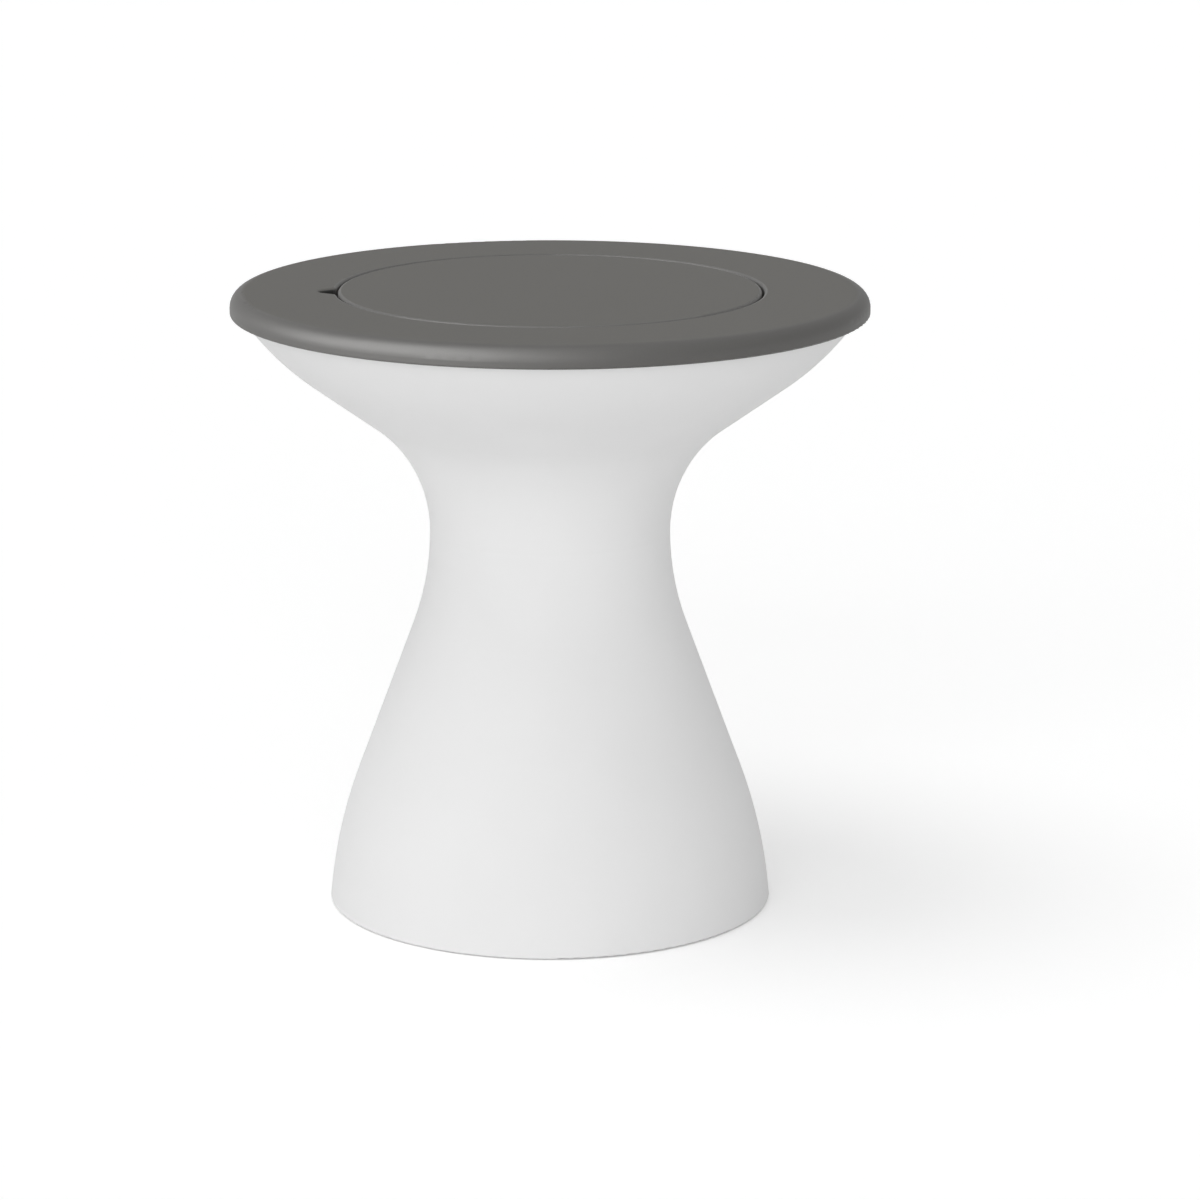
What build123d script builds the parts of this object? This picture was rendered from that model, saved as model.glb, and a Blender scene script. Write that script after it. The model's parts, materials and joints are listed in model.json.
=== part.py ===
from build123d import *
import math
import os

# Cooler side table: an hourglass pedestal that holds an insulated ice bin under a drop-in lid.
# Millimetres and degrees, +Z up, origin on the floor under the middle of the table.

# Overall sizes and the white pedestal's outline
TABLE_HEIGHT = 508.0
TOP_RADIUS = 258.0
RIM_HEIGHT = 17.4
RIM_OVERHANG = 9.2
RIM_LEAN = 34.4
FLARE_SWING = 1.366
FLARE_ARC_RATIO = 0.525
WAIST_RADIUS = 98.0
WAIST_HEIGHT = 309.7
SKIRT_SWING = 1.343
SKIRT_ARC_RATIO = 0.56
BASE_LEAN = 4.7
BASE_RADIUS = 182.0
BASE_ROUND = 1.5
WALL = 5.0

# Tabletop ring
RIM_ROUND = 12.0
RIM_LOWER_ROUND = 1.5
EDGE_ROUND = 3.0
RECESS_DEPTH = 14.0
LEDGE_WIDTH = 20.5
COLLAR_THICKNESS = 10.0
COLLAR_WALL = 4.0
COLLAR_CLEARANCE = 0.5
RING_SKIN = 5.0
RING_LIP = 10.0
RIB_COUNT = 24
RIB_THICKNESS = 3.0

# Finger notch beside the lid
NOTCH_ANGLE = 182.5
NOTCH_DEPTH = 13.5
NOTCH_WIDTH = 30.0
NOTCH_TIP_RADIUS = 10.0
NOTCH_MOUTH_ROUND = 4.0
NOTCH_FLOOR_DEPTH = 20.0
NOTCH_REACH = 7.0

# Lid
LID_RADIUS = 171.0
LID_GAP = 1.5
LID_SKIN = 4.0
LID_RIM = 6.0
LID_GRIP_CHAMFER = 3.0
LID_GASKET_HEIGHT = 2.0
LID_GASKET_WIDTH = 5.0
LID_GASKET_SETBACK = 1.0
LID_GASKET_ROUND = 0.6
PAN_WALL = 3.0
PAN_DROP = 18.0
PAN_CLEARANCE = 3.0
PAN_ROUND = 8.0
LID_BOSS_RADIUS = 4.0

# Ice bin and its insulation
BIN_WALL = 4.0
BIN_FLANGE = 4.0
BIN_FLOOR_HEIGHT = 270.0
BIN_SHOULDER_ROUND = 14.0
BIN_FLOOR_ROUND = 10.0
MOUTH_SETBACK = 2.0
FLANGE_SETBACK = 2.0
FLANGE_GASKET = 1.5
SHELF_CLEARANCE = 2.0
INSULATION = 18.0
INSULATION_UNDER = 32.0
FOAM_FIT = 0.3
ROUND_LIMIT = 0.9

# Drain: the same flanged fitting, washer and nut serve at the bin floor and at the base plate
DRAIN_BORE = 8.0
DRAIN_TUBE_WALL = 4.0
DRAIN_FLANGE_WIDTH = 9.0
DRAIN_FLANGE = 3.0
DRAIN_SEAT_MARGIN = 3.0
DRAIN_WASHER = 1.5
DRAIN_HOLE_FIT = 0.3
DRAIN_NUT_WALL = 6.7
DRAIN_NUT = 8.0
DRAIN_THREAD_SPARE = 3.0
DRAIN_POCKET_MARGIN = 4.0
TAIL_WALL = 2.0
TAIL_LENGTH = 28.0
BARB_COUNT = 3
BARB_RISE = 0.8
HOSE_FIT = 0.1
HOSE_WALL = 3.0
CLAMP_WIDTH = 9.0
CLAMP_BAND = 1.0
CLAMP_SCREW_RADIUS = 3.5
CLAMP_SCREW_LENGTH = 20.0

# Drain plug
PLUG_CAP_MARGIN = 4.0
PLUG_CAP = 3.0
PLUG_STEM_FIT = 0.4
PLUG_STEM_LENGTH = 14.0
PLUG_NECK_RADIUS = 4.5
PLUG_NECK_LENGTH = 12.0
PLUG_KNOB_RADIUS = 9.0
PLUG_KNOB = 6.0
PLUG_KNOB_ROUND = 2.4
O_RING_SECTION = 1.6
O_RING_FIT = 0.05
O_RING_GROOVE = 2.0
O_RING_DEPTH = 7.0

# Base plate and feet
FOOT_FLANGE_WIDTH = 38.0
PLATE_CLEARANCE = 0.5
PLATE_THICKNESS = 5.0
PLATE_SETBACK = 1.0
BASE_SHELF_WIDTH = 22.0
FOOT_COUNT = 6
FOOT_RADIUS = 10.0
FOOT_PROUD = 0.6
FOOT_RECESS = 3.0
FOOT_FIT = 0.2
FOOT_ROUND = 0.6

# Screws and threaded inserts
SCREW_RADIUS = 2.5
SCREW_HEAD_RADIUS = 4.6
SCREW_HEAD_LAND = 0.4
SCREW_FIT = 0.25
SCREW_TIP_SPARE = 1.0
SOCKET_WALL = 0.9
SOCKET_DEPTH = 1.8
INSERT_WALL = 1.0
INSERT_LENGTH = 10.0
INSERT_FIT = 0.05
INSERT_BOSS_WALL = 4.0
RING_SCREW_COUNT = 6
RING_SCREW_SETBACK = 6.0
BASE_SCREW_COUNT = 6
LID_SCREW_COUNT = 8
LID_SCREW_RADIUS = 1.75
LID_SCREW_HEAD_RADIUS = 3.2

# Heights of the faces that pieces share
top_z = TABLE_HEIGHT
rim_z = top_z - RIM_HEIGHT
ledge_z = top_z - RECESS_DEPTH
collar_z = ledge_z - COLLAR_THICKNESS
bin_flange_z = collar_z - FLANGE_GASKET
shelf_z = bin_flange_z - BIN_FLANGE
base_z = FOOT_PROUD
plate_z = base_z + PLATE_SETBACK
base_shelf_z = plate_z + PLATE_THICKNESS
lid_z = ledge_z + LID_GASKET_HEIGHT
pan_z = lid_z - PAN_DROP
drain_seat_depth = DRAIN_WASHER + DRAIN_FLANGE
drain_seat_z = BIN_FLOOR_HEIGHT - drain_seat_depth
sump_under_z = drain_seat_z - BIN_WALL
outlet_seat_z = base_shelf_z
outlet_top_z = outlet_seat_z + PLATE_THICKNESS
drain_tail_length = BIN_WALL + DRAIN_NUT + DRAIN_THREAD_SPARE
outlet_tail_length = PLATE_THICKNESS + DRAIN_NUT + DRAIN_THREAD_SPARE
hose_high_z = drain_seat_z - drain_tail_length
hose_low_z = outlet_seat_z + outlet_tail_length
insert_boss_length = INSERT_LENGTH + INSERT_BOSS_WALL - WALL
jacket_top_z = shelf_z - WALL - insert_boss_length
jacket_low_z = BIN_FLOOR_HEIGHT - INSULATION_UNDER

# Radii that pieces share
body_top_radius = TOP_RADIUS - RIM_OVERHANG
opening_radius = LID_RADIUS + LID_GAP
notch_mouth = math.sqrt(opening_radius ** 2 - (NOTCH_WIDTH / 2) ** 2)
ledge_radius = opening_radius - LEDGE_WIDTH
collar_radius = opening_radius + NOTCH_DEPTH + COLLAR_WALL
step_radius = collar_radius + COLLAR_CLEARANCE
bin_flange_radius = collar_radius - FLANGE_SETBACK
mouth_radius = ledge_radius - MOUTH_SETBACK
shelf_radius = mouth_radius + BIN_WALL + SHELF_CLEARANCE
pan_radius = mouth_radius - PAN_CLEARANCE
lid_inner_radius = LID_RADIUS - LID_RIM
ring_screw_circle = opening_radius - RING_SCREW_SETBACK
lid_screw_circle = lid_inner_radius - LID_BOSS_RADIUS
plate_hole_radius = BASE_RADIUS - FOOT_FLANGE_WIDTH
plate_radius = plate_hole_radius - PLATE_CLEARANCE
base_shelf_radius = plate_hole_radius - BASE_SHELF_WIDTH
base_screw_circle = plate_hole_radius - BASE_SHELF_WIDTH / 2
foot_circle = BASE_RADIUS - FOOT_FLANGE_WIDTH / 2
insert_radius = SCREW_RADIUS + INSERT_FIT + INSERT_WALL
insert_boss_radius = insert_radius + INSERT_BOSS_WALL
drain_tube_radius = DRAIN_BORE + DRAIN_TUBE_WALL
drain_flange_radius = drain_tube_radius + DRAIN_FLANGE_WIDTH
drain_hole_radius = drain_tube_radius + DRAIN_HOLE_FIT
drain_nut_radius = drain_hole_radius + DRAIN_NUT_WALL
sump_radius = drain_flange_radius + DRAIN_SEAT_MARGIN
tail_radius = DRAIN_BORE + TAIL_WALL
hose_bore = tail_radius + BARB_RISE + HOSE_FIT
hose_radius = hose_bore + HOSE_WALL
plug_stem_radius = DRAIN_BORE - PLUG_STEM_FIT
plug_cap_radius = DRAIN_BORE + PLUG_CAP_MARGIN
o_ring_outer = DRAIN_BORE - O_RING_FIT
bin_outer_inset = WALL + INSULATION
bin_inner_inset = bin_outer_inset + BIN_WALL

# Every pattern is laid out evenly about the plane through the axis and the finger notch
facing_notch = Rot(0, 0, NOTCH_ANGLE)


def flat(points):
    """Closed flat face in the XZ plane through (radius, height) points."""
    return make_face(Polyline(*[(r, 0, z) for r, z in points], close=True))


def rect(r_low, r_high, z_low, z_high):
    """Rectangle of a turned section."""
    return flat([(r_low, z_low), (r_high, z_low), (r_high, z_high), (r_low, z_high)])


def turned(section):
    """Solid of revolution about the table's axis."""
    return revolve(section, axis=Axis.Z)


def ease(section, spots, radius):
    """Rounds the section's corners that lie nearest to the (radius, height) spots."""
    corners = [min(section.vertices(), key=lambda v: math.hypot(v.X - r, v.Z - z)) for r, z in spots]
    return fillet(corners, radius=radius)


def around(radius, count):
    """Places evenly spaced on a circle, each turned to face outwards, half a step off the notch."""
    return PolarLocations(radius, count, start_angle=NOTCH_ANGLE + 180.0 / count)


def copies(shape, places):
    """One separate solid at each place."""
    return Compound(children=[place * shape for place in places])


def post(radius, height):
    """Upright cylinder that stands on z 0."""
    return Cylinder(radius, height, align=(Align.CENTER, Align.CENTER, Align.MIN))


ring_places = around(ring_screw_circle, RING_SCREW_COUNT)
base_places = around(base_screw_circle, BASE_SCREW_COUNT)
lid_places = around(lid_screw_circle, LID_SCREW_COUNT)
foot_places = around(foot_circle, FOOT_COUNT)


def s_curve(rise, spread, end_lean, swing, arc_ratio):
    """An S that leaves the waist upright and ends at end_lean: an arc, a straight run that leans
    swing times as far as the chord, and a second arc the other way. The first radius is arc_ratio
    times the second. Returns the run's lean in radians and both radii."""
    lean = swing * math.atan2(spread, rise)
    end = math.radians(end_lean)
    arcs_across = arc_ratio * (1 - math.cos(lean)) + math.cos(end) - math.cos(lean)
    arcs_along = arc_ratio * math.sin(lean) + math.sin(lean) - math.sin(end)
    second = ((spread * math.cos(lean) - rise * math.sin(lean))
              / (arcs_across * math.cos(lean) - arcs_along * math.sin(lean)))
    return lean, arc_ratio * second, second


flare_lean, neck_arc, bowl_arc = s_curve(
    rim_z - WAIST_HEIGHT, body_top_radius - WAIST_RADIUS, RIM_LEAN, FLARE_SWING, FLARE_ARC_RATIO)
skirt_lean, hip_arc, skirt_arc = s_curve(
    WAIST_HEIGHT - base_z, BASE_RADIUS - WAIST_RADIUS, BASE_LEAN, SKIRT_SWING, SKIRT_ARC_RATIO)
neck_centre = (WAIST_RADIUS + neck_arc, WAIST_HEIGHT)
hip_centre = (WAIST_RADIUS + hip_arc, WAIST_HEIGHT)
bowl_centre = (body_top_radius - bowl_arc * math.cos(math.radians(RIM_LEAN)),
               rim_z + bowl_arc * math.sin(math.radians(RIM_LEAN)))
skirt_centre = (BASE_RADIUS - skirt_arc * math.cos(math.radians(BASE_LEAN)),
                base_z - skirt_arc * math.sin(math.radians(BASE_LEAN)))


def on_arc(centre, radius, angle):
    """Point of a circle in the XZ plane."""
    return (centre[0] + radius * math.cos(angle), 0, centre[1] + radius * math.sin(angle))


def arc(centre, radius, start, end):
    """Arc in the XZ plane, angles in radians."""
    middle = (start + end) / 2
    return ThreePointArc(*[on_arc(centre, radius, angle) for angle in (start, middle, end)])


def upper_outline(inset, high_z):
    """Waist to bowl, moved inwards by inset and ended at a height."""
    end = math.asin((high_z - bowl_centre[1]) / (bowl_arc - inset))
    neck = arc(neck_centre, neck_arc + inset, math.pi, math.pi - flare_lean)
    bowl = arc(bowl_centre, bowl_arc - inset, -flare_lean, end)
    return [neck, Line(neck @ 1, bowl @ 0), bowl]


def lower_outline(inset, low_z):
    """Base to waist, moved inwards by inset and started at a height."""
    start = math.asin((low_z - skirt_centre[1]) / (skirt_arc - inset))
    skirt = arc(skirt_centre, skirt_arc - inset, start, skirt_lean)
    hip = arc(hip_centre, hip_arc + inset, math.pi + skirt_lean, math.pi)
    return [skirt, Line(skirt @ 1, hip @ 0), hip]


def closed_to_axis(edges):
    """Face between an outline, given from low to high, and the axis."""
    low, high = edges[0] @ 0, edges[-1] @ 1
    top = Line(high, (0, 0, high.Z))
    axis = Line((0, 0, high.Z), (0, 0, low.Z))
    bottom = Line((0, 0, low.Z), low)
    return make_face(edges + [top, axis, bottom])


def hourglass(inset, low_z, high_z):
    """Whole pedestal outline, moved inwards and cut at two heights."""
    return closed_to_axis(lower_outline(inset, low_z) + upper_outline(inset, high_z))


def goblet(inset, wall_radius, shoulder, floor_z, floor_round, high_z):
    """The bin's form: a straight well, the pedestal's neck and flare moved inwards by inset, and a
    rounded shoulder up to a straight wall."""
    neck_radius = neck_arc + inset
    centre_r = wall_radius - shoulder
    lean = math.acos((neck_centre[0] - centre_r) / (neck_radius + shoulder))
    centre = on_arc(neck_centre, neck_radius + shoulder, math.pi - lean)
    if lean > flare_lean:
        lean = flare_lean
        start = on_arc(neck_centre, neck_radius, math.pi - lean)
        rise = (shoulder + (centre_r - start[0]) * math.cos(lean)) / math.sin(lean)
        centre = (centre_r, 0, start[2] + rise)
    neck = arc(neck_centre, neck_radius, math.pi, math.pi - lean)
    turn = arc((centre[0], centre[2]), shoulder, -lean, 0)
    well = Line((WAIST_RADIUS - inset, 0, base_z), neck @ 0)
    wall = Line(turn @ 1, (wall_radius, 0, top_z))
    flare = [Line(neck @ 1, turn @ 0)] if lean == flare_lean else []
    form = closed_to_axis([well, neck] + flare + [turn, wall])
    form = form & rect(0, wall_radius, floor_z, high_z)
    if floor_round == 0:
        return form
    radius = min(floor_round, ROUND_LIMIT * abs(WAIST_HEIGHT - floor_z))
    return ease(form, [(WAIST_RADIUS - inset, floor_z)], radius)


def countersink(radius, head_radius, z, length, direction, fit):
    """Countersunk screw form with its head flush at z, its point along direction (+1 up, -1 down)."""
    cone = head_radius - radius
    profile = [(0, 0), (head_radius + fit, 0), (head_radius + fit, SCREW_HEAD_LAND),
               (radius + fit, SCREW_HEAD_LAND + cone), (radius + fit, length), (0, length)]
    return turned(flat([(r, z + direction * depth) for r, depth in profile]))


def socket_screw(radius, head_radius, z, length, direction):
    """Countersunk screw with a hexagon socket."""
    body = countersink(radius, head_radius, z, length, direction, 0)
    socket = extrude(RegularPolygon(radius - SOCKET_WALL, 6), SOCKET_DEPTH, dir=(0, 0, direction))
    return body - Pos(0, 0, z) * socket


def threaded_insert(z_low):
    """Brass sleeve that takes a screw."""
    return turned(rect(SCREW_RADIUS + INSERT_FIT, insert_radius, z_low, z_low + INSERT_LENGTH))


def make_pedestal_shell():
    """White hourglass skin with a stepped mouth for the bin and a shelf for the base plate."""
    skin = ease(hourglass(0, base_z, rim_z), [(BASE_RADIUS, base_z)], BASE_ROUND)
    section = (skin - hourglass(WALL, base_shelf_z, rim_z - WALL)
               - rect(0, step_radius, rim_z - WALL, rim_z)
               - rect(0, plate_hole_radius, base_z, base_shelf_z)
               + rect(step_radius, step_radius + WALL, shelf_z - WALL, rim_z)
               + rect(shelf_radius, step_radius + WALL, shelf_z - WALL, shelf_z)
               + rect(base_shelf_radius, plate_hole_radius + WALL, base_shelf_z, base_shelf_z + WALL))
    boss = post(insert_boss_radius, insert_boss_length)
    bore = post(insert_radius + INSERT_FIT, INSERT_LENGTH)
    foot = post(FOOT_RADIUS + FOOT_FIT, FOOT_RECESS)
    shell = turned(section)
    shell += [place * Pos(0, 0, jacket_top_z) * boss for place in ring_places]
    shell += [place * Pos(0, 0, base_shelf_z + WALL) * boss for place in base_places]
    shell -= [place * Pos(0, 0, shelf_z - INSERT_LENGTH) * bore for place in ring_places]
    shell -= [place * Pos(0, 0, base_shelf_z) * bore for place in base_places]
    shell -= [place * Pos(0, 0, base_z) * foot for place in foot_places]
    return shell


def notch_outline():
    """Finger notch in plan, at the +X side: a rounded V that opens onto the lid's edge."""
    tip = Pos(opening_radius + NOTCH_DEPTH - NOTCH_TIP_RADIUS, 0) * Rot(0, 0, 180) * Circle(NOTCH_TIP_RADIUS)
    mouth = Line((notch_mouth, -NOTCH_WIDTH / 2), (notch_mouth, NOTCH_WIDTH / 2))
    return make_hull(tip.edges() + mouth.edges())


def lid_opening():
    """Hole for the lid in plan, with eased corners where the notch runs into it."""
    plan = Circle(opening_radius) + notch_outline()
    corners = plan.vertices().sort_by(lambda v: math.hypot(abs(v.Y) - NOTCH_WIDTH / 2, v.X - notch_mouth))
    return fillet(corners[:2], NOTCH_MOUTH_ROUND)


def finger_pocket():
    """Foot of the notch in plan, which reaches in under the lid's edge."""
    reach = Rectangle(NOTCH_REACH, NOTCH_WIDTH, align=(Align.MAX, Align.CENTER))
    return notch_outline() + Pos(notch_mouth, 0) * reach


def rib_pocket():
    """Hollow under the ring's skin, left solid at evenly spaced radial ribs."""
    low, high = step_radius + WALL, body_top_radius - RING_LIP
    rib = Box(high - low + WALL, RIB_THICKNESS, RIM_HEIGHT)
    rib = Pos((low + high) / 2, 0, top_z - RIM_HEIGHT / 2) * rib
    pocket = turned(rect(low, high, rim_z, top_z - RING_SKIN))
    return pocket - [facing_notch * Rot(0, 0, 360 * i / RIB_COUNT) * rib for i in range(RIB_COUNT)]


def make_tabletop_ring():
    """Grey ring with a rounded rim, a recess and ledge for the lid, ribs below and a finger notch."""
    plate = rect(ledge_radius, TOP_RADIUS, rim_z, top_z)
    plate = ease(plate, [(TOP_RADIUS, top_z)], RIM_ROUND)
    plate = ease(plate, [(TOP_RADIUS, rim_z)], RIM_LOWER_ROUND)
    hole = countersink(SCREW_RADIUS, SCREW_HEAD_RADIUS, ledge_z, COLLAR_THICKNESS, -1, SCREW_FIT)
    ring = turned(plate + rect(ledge_radius, collar_radius, collar_z, ledge_z))
    ring -= rib_pocket()
    ring -= facing_notch * Pos(0, 0, ledge_z) * extrude(lid_opening(), RECESS_DEPTH)
    ring -= facing_notch * Pos(0, 0, ledge_z) * extrude(finger_pocket(), RECESS_DEPTH - NOTCH_FLOOR_DEPTH)
    ring -= [place * hole for place in ring_places]
    lip = [edge for edge in ring.edges().filter_by_position(Axis.Z, top_z, top_z)
           if math.hypot((edge @ 0).X, (edge @ 0).Y) < collar_radius]
    return fillet(lip, EDGE_ROUND)


def flange_holes(z_low, z_high):
    """Clearance holes for the ring screws through the stack under the ledge."""
    hole = turned(rect(0, SCREW_RADIUS + SCREW_FIT, z_low, z_high))
    return [place * hole for place in ring_places]


def make_ice_bin():
    """White liner that hangs by its flange, with a sump for the drain in its floor."""
    outside = goblet(bin_outer_inset, mouth_radius + BIN_WALL, BIN_SHOULDER_ROUND + BIN_WALL,
                     BIN_FLOOR_HEIGHT - BIN_WALL, BIN_FLOOR_ROUND + BIN_WALL, shelf_z)
    inside = goblet(bin_inner_inset, mouth_radius, BIN_SHOULDER_ROUND,
                    BIN_FLOOR_HEIGHT, BIN_FLOOR_ROUND, bin_flange_z)
    section = (outside + rect(0, bin_flange_radius, shelf_z, bin_flange_z)
               + rect(0, sump_radius + BIN_WALL, sump_under_z, BIN_FLOOR_HEIGHT) - inside
               - rect(0, sump_radius, drain_seat_z, BIN_FLOOR_HEIGHT)
               - rect(0, drain_hole_radius, sump_under_z, drain_seat_z))
    return turned(section) - flange_holes(shelf_z, bin_flange_z)


def make_bin_flange_gasket():
    """Flat rubber ring between the bin's flange and the tabletop ring."""
    ring = turned(rect(ledge_radius, bin_flange_radius, bin_flange_z, collar_z))
    return ring - flange_holes(bin_flange_z, collar_z)


def make_insulation_jacket():
    """Foam between the bin and the pedestal, with a pocket for the drain below the bin."""
    bin_room = goblet(bin_outer_inset - FOAM_FIT, mouth_radius + BIN_WALL + FOAM_FIT,
                      BIN_SHOULDER_ROUND + BIN_WALL + FOAM_FIT, BIN_FLOOR_HEIGHT - BIN_WALL - FOAM_FIT,
                      0, jacket_top_z)
    drain_room = max(sump_radius + BIN_WALL, drain_nut_radius) + DRAIN_POCKET_MARGIN
    body_room = hourglass(WALL + FOAM_FIT, base_shelf_z, jacket_top_z)
    section = ((body_room & rect(0, body_top_radius, jacket_low_z, jacket_top_z)) - bin_room
               - rect(0, drain_room, jacket_low_z, BIN_FLOOR_HEIGHT))
    return turned(section)


def through_fitting(thread_length):
    """Flanged tube: washer seat at z 0, flange above it, barbed hose tail below the thread."""
    tail_end = -thread_length - TAIL_LENGTH
    section = (rect(DRAIN_BORE, drain_flange_radius, DRAIN_WASHER, drain_seat_depth)
               + rect(DRAIN_BORE, drain_tube_radius, -thread_length, DRAIN_WASHER)
               + rect(DRAIN_BORE, tail_radius, tail_end, -thread_length))
    pitch = TAIL_LENGTH / (BARB_COUNT + 1)
    for i in range(BARB_COUNT):
        low, high = tail_end + i * pitch, tail_end + (i + 0.5) * pitch
        section += flat([(DRAIN_BORE, low), (tail_radius, low), (tail_radius + BARB_RISE, high),
                         (DRAIN_BORE, high)])
    return turned(section)


def lock_nut():
    """Hexagon nut that hangs from z 0."""
    body = facing_notch * extrude(RegularPolygon(drain_nut_radius, 6), -DRAIN_NUT)
    return body - turned(rect(0, drain_hole_radius, -DRAIN_NUT, 0))


def seat_washer():
    """Rubber washer between a fitting's flange and its seat."""
    return turned(rect(drain_hole_radius, drain_flange_radius, 0, DRAIN_WASHER))


def upside_down(z):
    """Place that turns a fitting over, about the notch's direction, and seats it at a height."""
    return Pos(0, 0, z) * facing_notch * Rot(180, 0, 0) * Rot(0, 0, -NOTCH_ANGLE)


def hose_clamp():
    """Band with a screw housing, centred on z 0."""
    inner = hose_radius + HOSE_FIT
    outer = inner + CLAMP_BAND
    band = turned(rect(inner, outer, -CLAMP_WIDTH / 2, CLAMP_WIDTH / 2))
    screw = Rot(90, 0, 0) * Cylinder(CLAMP_SCREW_RADIUS, CLAMP_SCREW_LENGTH)
    housing = Box(CLAMP_SCREW_RADIUS + CLAMP_BAND, CLAMP_SCREW_LENGTH / 2, CLAMP_WIDTH)
    worm = (Pos(outer + CLAMP_SCREW_RADIUS - CLAMP_BAND / 2, 0, 0) * screw
            + Pos(outer + CLAMP_SCREW_RADIUS / 2, 0, 0) * housing)
    return band + (worm - turned(rect(0, inner, -CLAMP_WIDTH, CLAMP_WIDTH)))


def make_drain_plug():
    """Stopper with a knob to pull it by and a groove for its O-ring."""
    seat_z = BIN_FLOOR_HEIGHT
    neck_z = seat_z + PLUG_CAP
    knob_z = neck_z + PLUG_NECK_LENGTH
    knob_top_z = knob_z + PLUG_KNOB
    groove_z = seat_z - O_RING_DEPTH
    groove_radius = o_ring_outer - O_RING_SECTION - O_RING_FIT
    knob = ease(rect(0, PLUG_KNOB_RADIUS, knob_z, knob_top_z),
                [(PLUG_KNOB_RADIUS, knob_z), (PLUG_KNOB_RADIUS, knob_top_z)], PLUG_KNOB_ROUND)
    section = (knob + rect(0, PLUG_NECK_RADIUS, neck_z, knob_z) + rect(0, plug_cap_radius, seat_z, neck_z)
               + rect(0, plug_stem_radius, seat_z - PLUG_STEM_LENGTH, seat_z)
               - rect(groove_radius, plug_stem_radius,
                      groove_z - O_RING_GROOVE / 2, groove_z + O_RING_GROOVE / 2))
    return turned(section)


def make_plug_o_ring():
    """O-ring in the plug's groove."""
    minor = O_RING_SECTION / 2
    return Pos(0, 0, BIN_FLOOR_HEIGHT - O_RING_DEPTH) * Torus(o_ring_outer - minor, minor)


def make_base_plate():
    """Grey plate that closes the base from below, with a raised seat for the outlet."""
    section = (rect(drain_hole_radius, plate_radius, plate_z, base_shelf_z)
               + rect(drain_hole_radius, sump_radius + PLATE_THICKNESS, base_shelf_z, outlet_top_z)
               - rect(drain_hole_radius, sump_radius, plate_z, outlet_seat_z))
    hole = countersink(SCREW_RADIUS, SCREW_HEAD_RADIUS, plate_z, PLATE_THICKNESS, 1, SCREW_FIT)
    return turned(section) - [place * hole for place in base_places]


def rubber_foot():
    """Rubber pad that fills a recess under the pedestal and stands proud of it."""
    foot = post(FOOT_RADIUS, base_z + FOOT_RECESS)
    return fillet(foot.edges().group_by(Axis.Z)[0], radius=FOOT_ROUND)


def make_lid_cover():
    """Grey lid disc with a rim below that a fingertip hooks under, and bosses for the pan's screws."""
    section = rect(lid_inner_radius, LID_RADIUS, lid_z, top_z) + rect(0, LID_RADIUS, top_z - LID_SKIN, top_z)
    section = ease(section, [(LID_RADIUS, top_z)], EDGE_ROUND)
    section -= flat([(LID_RADIUS, lid_z), (LID_RADIUS - LID_GRIP_CHAMFER, lid_z),
                     (LID_RADIUS, lid_z + LID_GRIP_CHAMFER)])
    low, high = lid_z + PAN_WALL, top_z - LID_SKIN
    web = Pos(LID_BOSS_RADIUS, 0, (low + high) / 2) * Box(2 * LID_BOSS_RADIUS, LID_BOSS_RADIUS, high - low)
    boss = turned(rect(0, LID_BOSS_RADIUS, low, high)) + web
    bore = turned(rect(0, LID_SCREW_RADIUS + INSERT_FIT, low, high))
    return turned(section) + [place * boss for place in lid_places] - [place * bore for place in lid_places]


def make_lid_pan():
    """White insulated plug under the lid, with a flange that carries the gasket."""
    inner, floor_z, flange_z = pan_radius - PAN_WALL, pan_z + PAN_WALL, lid_z + PAN_WALL
    tub = ease(rect(0, pan_radius, pan_z, flange_z), [(pan_radius, pan_z)], PAN_ROUND)
    hollow = ease(rect(0, inner, floor_z, flange_z), [(inner, floor_z)], PAN_ROUND - PAN_WALL)
    section = tub + rect(inner, lid_inner_radius - FOAM_FIT, lid_z, flange_z) - hollow
    hole = countersink(LID_SCREW_RADIUS, LID_SCREW_HEAD_RADIUS, lid_z, PAN_WALL, 1, SCREW_FIT)
    return turned(section) - [place * hole for place in lid_places]


def make_lid_foam():
    """Foam core between the lid's two skins."""
    radius = pan_radius - PAN_WALL - FOAM_FIT
    low_z = pan_z + PAN_WALL
    return turned(ease(rect(0, radius, low_z, top_z - LID_SKIN), [(radius, low_z)], PAN_ROUND - PAN_WALL))


def make_lid_gasket():
    """Soft ring under the lid that lands on the ledge."""
    inner = ledge_radius + LID_GASKET_SETBACK
    outer = inner + LID_GASKET_WIDTH
    section = rect(inner, outer, ledge_z, lid_z)
    return turned(ease(section, [(inner, ledge_z), (outer, ledge_z)], LID_GASKET_ROUND))


ring_screw = socket_screw(SCREW_RADIUS, SCREW_HEAD_RADIUS, ledge_z,
                          ledge_z - shelf_z + INSERT_LENGTH - SCREW_TIP_SPARE, -1)
base_screw = socket_screw(SCREW_RADIUS, SCREW_HEAD_RADIUS, plate_z,
                          PLATE_THICKNESS + INSERT_LENGTH - SCREW_TIP_SPARE, 1)
lid_screw = socket_screw(LID_SCREW_RADIUS, LID_SCREW_HEAD_RADIUS, lid_z,
                         top_z - LID_SKIN - lid_z - SCREW_TIP_SPARE, 1)
clamp_heights = (hose_high_z - TAIL_LENGTH / 2, hose_low_z + TAIL_LENGTH / 2)
clamp_places = [Pos(0, 0, z) * facing_notch for z in clamp_heights]

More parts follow.
